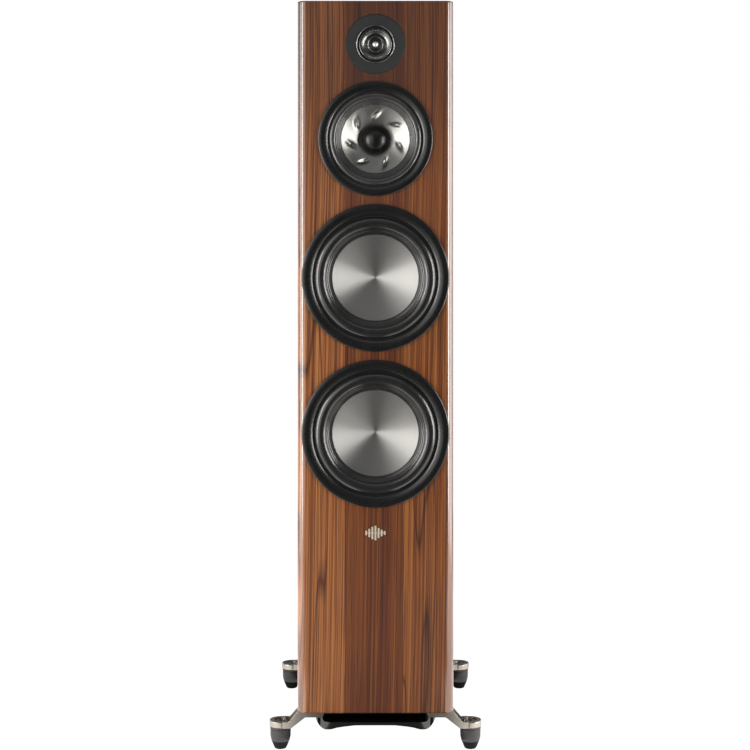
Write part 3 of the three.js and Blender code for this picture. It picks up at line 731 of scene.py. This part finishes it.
def midrange_cone(name, driver, at):
    """A thin cone pressed with a ring of slanting dimples, and the dome in its middle."""
    bm = bmesh.new()
    around, outward = 420, 70
    grid = []
    for k in range(outward + 1):
        r = driver["neck"] + (driver["cone_rim"] - driver["neck"]) * k / outward
        row = []
        for i in range(around):
            turn = 2 * math.pi * i / around
            h = cone_height(driver, r) - DIMPLE_DEEP * dimple(r, turn)
            row.append(bm.verts.new(at + Vector((r * math.cos(turn), -h, r * math.sin(turn))) * MM))
        grid.append(row)
    for one, two in zip(grid, grid[1:]):
        for i in range(around):
            k = (i + 1) % around
            bm.faces.new((one[i], one[k], two[k], two[i]))
    cone = add_object(name + "_turbine_cone", bm, 60)
    thick = cone.modifiers.new("sheet", "SOLIDIFY")
    thick.thickness = 0.9 * MM
    thick.offset = -1 if cone.data.polygons[0].normal.y < 0 else 1
    fit(cone, name + "_moving", turbine_silver, "turbine_cone", name + "_cone")

    radius, height, shrink = 20.8, 16.6, 0.94
    base = cone_height(driver, radius) + GAP
    outer = arc(0, base, radius, height, 0, 90, 22)
    outer[-1] = (0, base + height)
    inner = [(r * shrink, base + (h - base) * shrink) for r, h in reversed(outer)]
    dome = turned("midrange_dome", outer + inner, at, steps=128)
    fit(dome, name + "_moving", gloss_black, "gloss_black", "midrange_dust_cap")


def tweeter_plate(at):
    """The flat plate, its bright inner rim, the recess inside that and the bowl."""
    back, face, opening = -3.7, 0.55, 28.9
    plate = [
        (44.4, back), (44.4, 0.15), (44.0, face), (29.7, face), (29.5, 0.35), (opening, 0.35),
        (opening, -2.6), (30, back),
    ]
    piece = turned("tweeter_plate", plate, at, steps=FINE)
    fit(piece, "cabinet", matt_plate, "plate_black", "tweeter_faceplate")
    rim = [(28.85, -2.4), (28.85, 0.6), *arc(28.0, 0.6, 0.85, 0.9, 20, 180, 12), (27.15, -2.4)]
    piece = turned("tweeter_rim", rim, at, steps=FINE)
    fit(piece, "cabinet", rim_metal, "plate_black")
    moat = [(27.1, -2.6), (27.1, -1.2), (24.4, -1.3), (24.4, -2.6)]
    piece = turned("tweeter_recess", moat, at, steps=FINE)
    fit(piece, "cabinet", recess_black, "plate_black")
    bowl = [(24.3, -3.8), (24.3, -0.9), (24.1, -0.4), (23.7, -0.15)]
    bowl += arc(26.37, -16.05, 16.2, 16.2, 102, 128, 14)
    bowl += [(16.25, -4.6), (17.3, -4.8)]
    piece = turned("tweeter_waveguide", bowl, at, steps=FINE)
    fit(piece, "cabinet", waveguide_black, "plate_black", "tweeter_faceplate")


def tweeter_diaphragm(at, seat):
    """Two soft rolls side by side, with a bright ring in the valley between them."""
    skin = 0.5
    rolls = arc(13.9, seat, 2.3, 2.4, 0, 180, 14) + arc(7.7, seat, 2.2, 2.4, 0, 180, 14)
    sheet = [(16.2, seat), *rolls, (5.5, seat)]
    under = [(r, h - skin) for r, h in reversed(sheet)]
    piece = turned("tweeter_ring_diaphragm", sheet + under, at, steps=128)
    fit(piece, "tweeter_moving", soft_diaphragm, "soft_diaphragm", "tweeter_diaphragm")
    low, high = seat - 0.55, seat + 1.2
    clamp = [(12.2, low), (12.2, high), *arc(11.2, high, 1.0, 1.5, 20, 160, 10)]
    clamp += [(10.2, high), (10.2, low)]
    ring = turned("tweeter_valley_ring", clamp, at, steps=96)
    fit(ring, "tweeter_moving", rim_metal, "bright_plug")


def tweeter_plug(at, seat):
    """The pointed bullet in the middle."""
    radius = 4.9
    low = (FRONT_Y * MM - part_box("tweeter_phase_plug")[1].y) / MM
    tip = (FRONT_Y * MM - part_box("tweeter_phase_plug")[0].y) / MM
    plug = [(0, low), (radius, low), (radius, seat + 1.5)]
    plug += arc(0, seat + 1.5, radius, tip - seat - 1.9, 6, 78, 16)
    plug += [(0.95, tip - 0.35), (0.6, tip - 0.7), (0, tip - 0.8)]
    piece = turned("tweeter_bullet", plug, at, steps=96)
    fit(piece, "cabinet", plug_chrome, "bright_plug", "tweeter_phase_plug")


def tweeter_ticks(at):
    """Plain marks on the bowl above and below the diaphragm, every fourth one longer."""
    radius, pitch, half_mark = 20.7, 6.4, 0.16
    bm = bmesh.new()
    for middle, count in ((90, 13), (270, 9)):
        for i in range(count):
            turn = math.radians(middle + (i - (count - 1) / 2) * pitch)
            spoke = Vector((math.cos(turn), 0, math.sin(turn)))
            side = Vector((-spoke.z, 0, spoke.x)) * half_mark
            long = 0.9 if i % 4 == 0 else 0.6
            face = []
            for reach, across in ((-long, -1), (long, -1), (long, 1), (-long, 1)):
                spot = spoke * (radius + reach) + side * across
                face.append(bm.verts.new(at + (spot + Vector((0, 0.5, 0))) * MM))
            made = bm.faces.new(face)
            pushed = bmesh.ops.extrude_face_region(bm, geom=[made])["geom"]
            corners = [g for g in pushed if isinstance(g, bmesh.types.BMVert)]
            bmesh.ops.translate(bm, verts=corners, vec=(0, 0.9 * MM, 0))
    fit(add_object("tweeter_ticks", bm), "cabinet", tick_paint, "plate_black")


def tweeter():
    at = driver_axis("tweeter_faceplate")
    seat = -5.5
    tweeter_plate(at)
    tweeter_diaphragm(at, seat)
    tweeter_plug(at, seat)
    tweeter_ticks(at)


def drivers():
    for name, driver in DRIVERS.items():
        at = driver_axis(name + "_cone")
        trim_ring(name, driver, at)
        surround(name, driver, at)
        cone = midrange_cone if driver is MIDRANGE else woofer_cone
        cone(name, driver, at)
    tweeter()


# ---------- feet, plinth and port ----------
PAD_X = 144
ARM_Y = 161.5
ARM_WIDTH = 33
ARM_LOW = 50.6
SHOULDER_X = 114.6
ELBOW_X = 130.8
PAD_TOP = 43.1
PAD_LOW = 33.7
PAD_RADIUS = 17


def outrigger(name, side, end):
    """A cast arm that steps down to a round pad, with a groove on its slope and a stud hole."""
    top = CABINET_LOW - GAP
    x, y = side * PAD_X, end * ARM_Y
    profile = [
        (78, ARM_LOW), (106, ARM_LOW), (127.6, PAD_LOW), (PAD_X, PAD_LOW), (PAD_X, PAD_TOP),
        (ELBOW_X, PAD_TOP), (SHOULDER_X, top), (78, top),
    ]
    outline = [(side * px, pz) for px, pz in filleted(profile, 4, 6)]
    bar = prism("bar", outline, y - ARM_WIDTH / 2, y + ARM_WIDTH / 2, "y", 1.4, 4)
    section = [(0, PAD_LOW), (PAD_RADIUS, PAD_LOW), (PAD_RADIUS, PAD_TOP), (0, PAD_TOP)]
    rim = filleted(section, 1.5, 5, False)
    pad = turned("pad", rim, (x * MM, y * MM, 0), "up", 128)
    slope = math.atan2(top - PAD_TOP, ELBOW_X - SHOULDER_X)
    channel_x = 118.5
    groove = rounded_rectangle(46, ARM_WIDTH - 9, 3)
    channel = prism("channel", groove, -3.2, 30, "z", 0.9, 3)
    lean = Matrix.Rotation(side * slope, 4, "Y")
    channel_z = PAD_TOP + (ELBOW_X - channel_x) * math.tan(slope)
    middle = Vector((side * channel_x, y, channel_z)) * MM
    channel.data.transform(Matrix.Translation(middle) @ lean)
    spot = (x * MM, y * MM, PAD_TOP * MM)
    recess = turned(
        "recess", [(0, -3), (8.2, -3), (9.2, -2.2), (9.2, 0), (9.8, 0.6), (9.8, 4), (0, 4)],
        spot, "up", 96,
    )
    hole = rod(4.3, 60, spot, "up", 64)
    arm = combined(f"outrigger_arm_{name}", bar, [channel, recess, hole], [pad])
    fit(flatten_normals(soften(arm, 0.35)), "cabinet", cast_alloy, "cast_arm", "outrigger_" + name)

    washer = [(4.4, -2.95), (8.0, -2.95), (8.0, -1.6), (7.4, -1.1), (5.0, -1.1), (4.4, -1.5)]
    insert = turned(f"pad_insert_{name}", washer, spot, "up", 96)
    fit(insert, "cabinet", insert_chrome, "steel")


def threaded(low, high):
    """The side of a screw: (radius, height) points up the thread's ridges."""
    points = []
    turns = int((high - low) / PITCH)
    for i in range(turns):
        z = low + i * PITCH
        points += [(ROOT, z), (CREST, z + PITCH * 0.42), (CREST, z + PITCH * 0.58)]
    return points + [(ROOT, low + turns * PITCH), (CREST, high)]


def foot(name):
    """A tapered rubber foot and the levelling stud it hangs on."""
    at = centre("rubber_foot_" + name)
    at.z = 0
    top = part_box("rubber_foot_" + name)[1].z / MM
    side = [(7.9, 0), (8.9, 0.9), (10.2, 3.6), (13.9, 12.5), (15.1, 17.5)]
    side += [(15.4, 21), (15.5, top - 4.1), (14.9, top - 3.7), (14.9, top - 3.1)]
    side += [(15.7, top - 2.7), (15.9, top - 2.2), (15.9, top - 0.5), (15.4, top)]
    outline = [(0, 0), *filleted(side, 2.5, 3, False), (4.3, top), (4.3, 8), (0, 8)]
    piece = turned(f"foot_rubber_{name}", outline, at, "up", 128)
    # The rear feet take the darker copy of the rubber as painted shade.
    rubber = rear_rubber_painted_shade if name.startswith("rear") else foot_rubber
    fit(soften(piece, 0.3), "foot_" + name, rubber, "rubber", "rubber_foot_" + name)

    low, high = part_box("levelling_stud_" + name)
    start, end = low.z / MM, high.z / MM
    screw = [(0, start), (3.2, start)]
    screw += threaded(start + 0.4, end - 4)
    screw += [(CREST, end - 0.5), (3.4, end), (2.5, end), (2.3, end - 0.2), (2.3, end - 4)]
    screw.append((0, end - 4))
    shaft = turned("shaft", screw, at, "up", 48)
    socket = prism("socket", arc(at.x / MM, at.y / MM, 2.9, 2.9, 0, 300, 5), end - 4.2, end + 1)
    stud = combined(f"stud_screw_{name}", shaft, [socket])
    fit(stud, "stud_" + name, stud_steel, "steel", "levelling_stud_" + name)


PLINTH_LOW = 32.6
CHEEK_X = 75
CHEEK = 19
TRAY_FLOOR = 44
POCKET_X = 87.5


def plinth():
    """A tray with rounded cheeks under the port, a cone that turns the air and two walls."""
    top = CABINET_LOW - GAP
    low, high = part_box("port_plinth")
    near, far = low.y / MM, high.y / MM
    under = [(0, 39.8), (30, 39.7), (48, 38.6), (57, 36.3), (66, 33.6), (CHEEK_X, PLINTH_LOW)]
    cheek = arc(CHEEK_X, top, CHEEK, top - PLINTH_LOW, -90, 0, 16)[1:]
    inner = [(80, top), (80, TRAY_FLOOR + 3), (77, TRAY_FLOOR), (0, TRAY_FLOOR)]
    half = under + cheek + inner
    outline = [(0.0, TRAY_FLOOR)] + [(-x, z) for x, z in reversed(half[1:-1])] + half[:-1]
    body = prism("tray", outline, near, far, "y", 0.9, 3)
    pockets = []
    for side in (-1, 1):
        for end in (-1, 1):
            x, y, z = side * POCKET_X, end * ARM_Y, ARM_LOW - GAP
            reach = ARM_WIDTH / 2 + GAP
            pockets.append(block(x - 10, x + 10, y - reach, y + reach, z, z + 30))
    around = rounded_rectangle(2 * (CHEEK_X + CHEEK), far - near, 34, 0, (near + far) / 2, 16)
    tray = combined("plinth_tray", body, pockets, keeps=[prism("plan", around, 30, 70)])
    fit(flatten_normals(soften(tray, 0.7, 3)), "cabinet", plinth_black, "plinth_black", "port_plinth")

    base, hollow, rise, foot_height = 50, 46, 35, 44.3
    flare = [(0, 42), (base, 42), (base, foot_height)]
    for i in range(1, 11):
        turn = math.radians(9 * i)
        flare.append((base - hollow * math.sin(turn), foot_height + rise * (1 - math.cos(turn))))
    flare += [(3, 80.3), (1.6, 80.9), (0, 81)]
    cone = turned("plinth_diffuser", flare, (0, 0, 0), "up", 128)
    fit(cone, "cabinet", plinth_black, "plinth_black", "port_plinth")

    for side, name in ((-1, "left"), (1, "right")):
        x0, x1 = sorted((side * 12, side * 81))
        wall = block(x0, x1, -1.5, 1.5, 42, top)
        wall.name = "plinth_splitter_" + name
        fit(wall, "cabinet", plinth_black, "plinth_black", "port_plinth")


def port():
    """A tube flared at both ends."""
    start = CABINET_LOW + GAP
    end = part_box("port_tube")[1].z / MM
    bore = [(56, start), *arc(56, start + 26, 18, 26, -90, -180, 12)[1:], (38, start + 40)]
    bore += [(38, end - 20), *arc(46, end - 20, 8, 20, 180, 100, 8), (46.5, end)]
    outside = [(46.8, end), (41, end - 20), (41, start + 32), (46, start + 15), (59.3, start + 7)]
    outline = bore + outside + [(59.3, start)]
    tube = turned("port_tube_moulding", outline, (0, 0, 0), "up", 128)
    fit(tube, "cabinet", port_black, "port_black", "port_tube")


def supports():
    for end_name, end in (("front", -1), ("rear", 1)):
        for side_name, side in (("left", -1), ("right", 1)):
            name = f"{end_name}_{side_name}"
            outrigger(name, side, end)
            foot(name)
    plinth()
    port()


# ---------- terminals and badge ----------
CUP_FACE = REAR_Y + GAP
CUP_FLOOR = REAR_Y - CUP_DEPTH
CUP_PLATE = 2.5


def terminal_cup(at):
    """A recessed cup with a flat plate round it."""
    outline = rounded_rectangle(CUP_WIDE + 20, CUP_TALL + 20, 8, 0, at.z)
    plate = prism("plate", outline, CUP_FACE, CUP_FACE + CUP_PLATE, "y", 1.0, 4)
    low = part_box("terminal_cup")[0].y / MM
    outline = rounded_rectangle(CUP_WIDE, CUP_TALL, 5, 0, at.z)
    tub = prism("tub", outline, low, CUP_FACE + 1, "y")
    outline = rounded_rectangle(CUP_WIDE - 6, CUP_TALL - 6, 6, 0, at.z)
    hollow = prism("hollow", outline, CUP_FLOOR, CUP_FACE + 10, "y", 1.5, 4)
    outline = rounded_rectangle(CUP_WIDE - 4, CUP_TALL - 4, 7, 0, at.z)
    rim = prism("rim", outline, CUP_FACE + 1.6, CUP_FACE + 10, "y")
    holes = []
    for side in ("positive", "negative"):
        spot = centre("binding_post_" + side)
        holes.append(rod(4.3, 60, (spot.x, CUP_FLOOR * MM, spot.z), steps=48))
    cup = combined("terminal_tub", plate, [hollow, rim, *holes], [tub])
    fit(flatten_normals(cup), "cabinet", port_black, "gloss_black", "terminal_cup")


def cup_screw(x, z, at):
    """A domed screw with a crossed slot, each turned its own way."""
    spot = Vector((x, CUP_FACE + CUP_PLATE, at.z + z)) * MM
    head = [(0, -0.4), (3.2, -0.4), (3.2, 0.5), (2.6, 1.1), (0, 1.25)]
    screw = turned("head", head, spot, "back", 48)
    slots = []
    for turn in (20, 110):
        slot = block(-2.2, 2.2, -0.4, 0.4, -0.75, 0.75)
        spin = Matrix.Rotation(math.radians(turn + x + z), 4, "Y")
        rise = Matrix.Translation(spot + Vector((0, 1.3, 0)) * MM)
        slot.data.transform(rise @ spin @ Matrix.Rotation(math.radians(90), 4, "X"))
        slots.append(slot)
    corner = f"{'right' if x > 0 else 'left'}_{'upper' if z > 0 else 'lower'}"
    fit(combined(f"cup_screw_{corner}", screw, slots), "cabinet", stud_steel, "steel")


def binding_post(side, spot):
    """A shouldered, threaded post through the cup's floor."""
    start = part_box("binding_post_" + side)[0].y / MM
    shoulder = CUP_FLOOR + GAP
    post = [(0, start), (3.4, start), (CREST, start + 0.5), (CREST, shoulder), (8.0, shoulder)]
    post += [(8.5, shoulder + 0.5), (8.5, shoulder + 3.4), (8.0, shoulder + 4)]
    post += [(ROOT, shoulder + 4), *threaded(shoulder + 4.6, REAR_Y - 0.4)]
    post += [(ROOT, REAR_Y), (0, REAR_Y)]
    piece = turned(f"post_{side}", post, spot, "back", 64)
    fit(piece, "cabinet", gold_plate, "gold", "binding_post_" + side)


def clamp_collar(side, spot):
    y1, y2 = (v.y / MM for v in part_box("clamp_collar_" + side))
    collar = filleted([(4.4, y1), (8.3, y1), (8.3, y2), (4.4, y2)], 0.5, 3)
    piece = turned(f"collar_{side}", collar, spot, "back", 64)
    fit(piece, "collar_" + side, gold_plate, "gold", "clamp_collar_" + side)


def binding_cap(side, spot, material, slot):
    """A knob with flutes round its side and a bore for the post."""
    flute_count, flute_radius, flute_out = 12, 1.5, 10.1
    y1, y2 = (v.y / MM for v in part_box("binding_cap_" + side))
    knob = [(4.4, y1), (8.9, y1), (9.35, y1 + 0.6), (9.35, y2 - 3.2), (8.6, y2 - 1.0)]
    knob += [(7.4, y2), (0, y2), (0, REAR_Y + 1), (4.4, REAR_Y + 1)]
    body = turned("knob", knob, spot, "back", 96)
    flutes = []
    for i in range(flute_count):
        turn = math.radians(360 / flute_count * i)
        out = Vector((math.cos(turn), 0, math.sin(turn))) * flute_out * MM
        flutes.append(rod(flute_radius, 16, spot + out + Vector((0, y1 + 12, 0)) * MM, "back", 24))
    cap = flatten_normals(soften(combined(f"cap_{side}", body, flutes), 0.25))
    fit(cap, "cap_" + side, material, slot, "binding_cap_" + side)


def terminals():
    at = centre("terminal_cup") / MM
    terminal_cup(at)
    screw_x, screw_z = CUP_WIDE / 2 + 3.5, CUP_TALL / 2 + 3.5
    for x in (-screw_x, screw_x):
        for z in (-screw_z, screw_z):
            cup_screw(x, z, at)
    for side, material, slot in (
        ("positive", cap_red, "red_plastic"), ("negative", cap_black, "gloss_black"),
    ):
        spot = centre("binding_post_" + side)
        spot.y = 0
        binding_post(side, spot)
        clamp_collar(side, spot)
        binding_cap(side, spot, material, slot)


def badge():
    """A generic level meter of rounded bars."""
    at = centre("front_badge") / MM
    heights = [7, 13, 19, 22, 15, 10, 6]
    middle = len(heights) // 2
    pitch, width = 4.6, 2.9
    reach = pitch * middle
    spine = block(-reach, reach, FRONT_Y - 0.95, FRONT_Y - GAP, at.z - 0.5, at.z + 0.5)
    bars = []
    for i, tall in enumerate(heights):
        outline = rounded_rectangle(width, tall, width / 2 - 0.01, (i - middle) * pitch, at.z, 8)
        bars.append(prism("bar", outline, FRONT_Y - 1.45, FRONT_Y - GAP, "y", 0.35, 3))
    made = combined("level_meter_badge", spine, adds=bars)
    fit(flatten_normals(made), "cabinet", badge_metal, "badge_metal", "front_badge")


# ---------- inside ----------
def inside():
    """The pieces behind the baffle keep their CAD shapes and get their own finishes."""
    finishes = {
        "_basket": basket_paint, "_spider": spider_cloth, "_voice_coil": copper_wire,
        "_magnet": ferrite, "_yoke": yoke_steel, "crossover_board": circuit_green,
        "shelf_brace": fibreboard, "midrange_enclosure": fibreboard, "tweeter_motor": yoke_steel,
    }
    for name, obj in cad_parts.items():
        for ending, material in finishes.items():
            if name.endswith(ending):
                if not obj.material_slots:
                    obj.data.materials.append(material)
                for slot in obj.material_slots:
                    slot.material = material


# ---------- studio ----------
def aim_at(obj, target):
    obj.rotation_euler = (target - obj.location).to_track_quat("-Z", "Y").to_euler()


def lamp(name, azimuth, radiance, wide, tall, far=2.1, height=0.64, tint=(1, 1, 1)):
    """A soft light facing the speaker from an azimuth seen from its front, right positive."""
    light = bpy.data.lights.new(name, "AREA")
    light.shape = "RECTANGLE"
    light.size = wide
    light.size_y = tall
    light.energy = radiance * math.pi * wide * tall
    light.color = tint
    obj = bpy.data.objects.new(name, light)
    bpy.context.scene.collection.objects.link(obj)
    turn = math.radians(azimuth)
    obj.location = (far * math.sin(turn), FRONT_Y * MM - far * math.cos(turn), height)
    aim_at(obj, Vector((0, FRONT_Y * MM, height)))
    obj.visible_camera = False
    return obj


def lights():
    """Two narrow strips for the edges, soft light all round and cards on the floor."""
    warm = (1, 0.96, 0.92)
    cream = (1, 0.985, 0.96)
    lamp("left_key", -43, 1.4, 2.0, 2.3, height=0.9, tint=cream)
    lamp("left_strip", -57, 13.0, 0.32, 1.7, 2.0, tint=cream)
    lamp("right_strip", 57, 16.5, 0.36, 1.6, tint=cream)
    lamp("left_side", -84, 3.8, 0.7, 1.6, 1.7, tint=warm)
    lamp("right_side", 90, 5.0, 1.1, 1.6, 1.7, tint=warm)
    lamp("rear_left", -145, 1.3, 1.8, 1.8)
    lamp("rear_right", 145, 1.3, 1.8, 1.8)
    for name, side in (("left_card", -1), ("right_card", 1)):
        for radiance, wide, deep, out in ((1.5, 0.3, 0.8, 0.28), (1.3, 1.5, 1.8, 1.18)):
            card = lamp(name, 0, radiance, wide, deep, tint=warm)
            card.location = (side * out, FRONT_Y * MM + 0.05, 0.012)
            card.rotation_euler = (math.pi, 0, 0)
    sky = lamp("overhead", 0, 0.4, 2.2, 0.9)
    sky.location = (0, FRONT_Y * MM - 1.3, 2.3)
    aim_at(sky, Vector((0, FRONT_Y * MM, 0.6)))


def backdrop():
    """White behind the speaker for the camera, and dim all round for everything else."""
    world = bpy.data.worlds.new("studio")
    bpy.context.scene.world = world
    world.use_nodes = True
    nodes, links = world.node_tree.nodes, world.node_tree.links
    ambient = nodes["Background"]
    ambient.inputs["Color"].default_value = (0.1, 0.1, 0.1, 1)
    bright = nodes.new("ShaderNodeBackground")
    bright.inputs["Color"].default_value = (1, 1, 1, 1)
    seen = nodes.new("ShaderNodeLightPath")
    chosen = nodes.new("ShaderNodeMixShader")
    links.new(seen.outputs["Is Camera Ray"], chosen.inputs[0])
    links.new(ambient.outputs[0], chosen.inputs[1])
    links.new(bright.outputs[0], chosen.inputs[2])
    links.new(chosen.outputs[0], nodes["World Output"].inputs["Surface"])


def pale_floor():
    """A floor that the camera sees as almost white and that throws little light back."""
    bm = bmesh.new()
    bmesh.ops.create_grid(bm, x_segments=1, y_segments=1, size=30)
    floor = add_object("floor", bm)
    material = bpy.data.materials.new("pale_floor")
    material.use_nodes = True
    nodes, links = material.node_tree.nodes, material.node_tree.links
    paint = nodes["Principled BSDF"]
    paint.inputs["Base Color"].default_value = (0.12, 0.12, 0.12, 1)
    paint.inputs["Roughness"].default_value = 0.9
    glow = nodes.new("ShaderNodeEmission")
    seen = nodes.new("ShaderNodeLightPath")
    lift = nodes.new("ShaderNodeMath")
    lift.operation = "MULTIPLY"
    lift.inputs[1].default_value = 0.98
    links.new(seen.outputs["Is Camera Ray"], lift.inputs[0])
    links.new(lift.outputs[0], glow.inputs["Strength"])
    both = nodes.new("ShaderNodeAddShader")
    links.new(paint.outputs[0], both.inputs[0])
    links.new(glow.outputs[0], both.inputs[1])
    links.new(both.outputs[0], nodes["Material Output"].inputs["Surface"])
    floor.data.materials.append(material)


def camera():
    """Straight in front, level, and framed from head to foot by a downward shift."""
    distance, height = 2.354, 0.769
    made = bpy.data.cameras.new("camera")
    made.lens = 75.6
    made.sensor_width = 36
    made.shift_y = -0.179
    holder = bpy.data.objects.new("camera", made)
    bpy.context.scene.collection.objects.link(holder)
    holder.location = (-0.0007, FRONT_Y * MM - distance, height)
    holder.rotation_euler = (math.radians(90), 0, 0)
    bpy.context.scene.camera = holder
    bpy.context.scene.view_settings.view_transform = "Standard"


cabinet()
drivers()
supports()
terminals()
badge()
inside()
lights()
backdrop()
pale_floor()
camera()
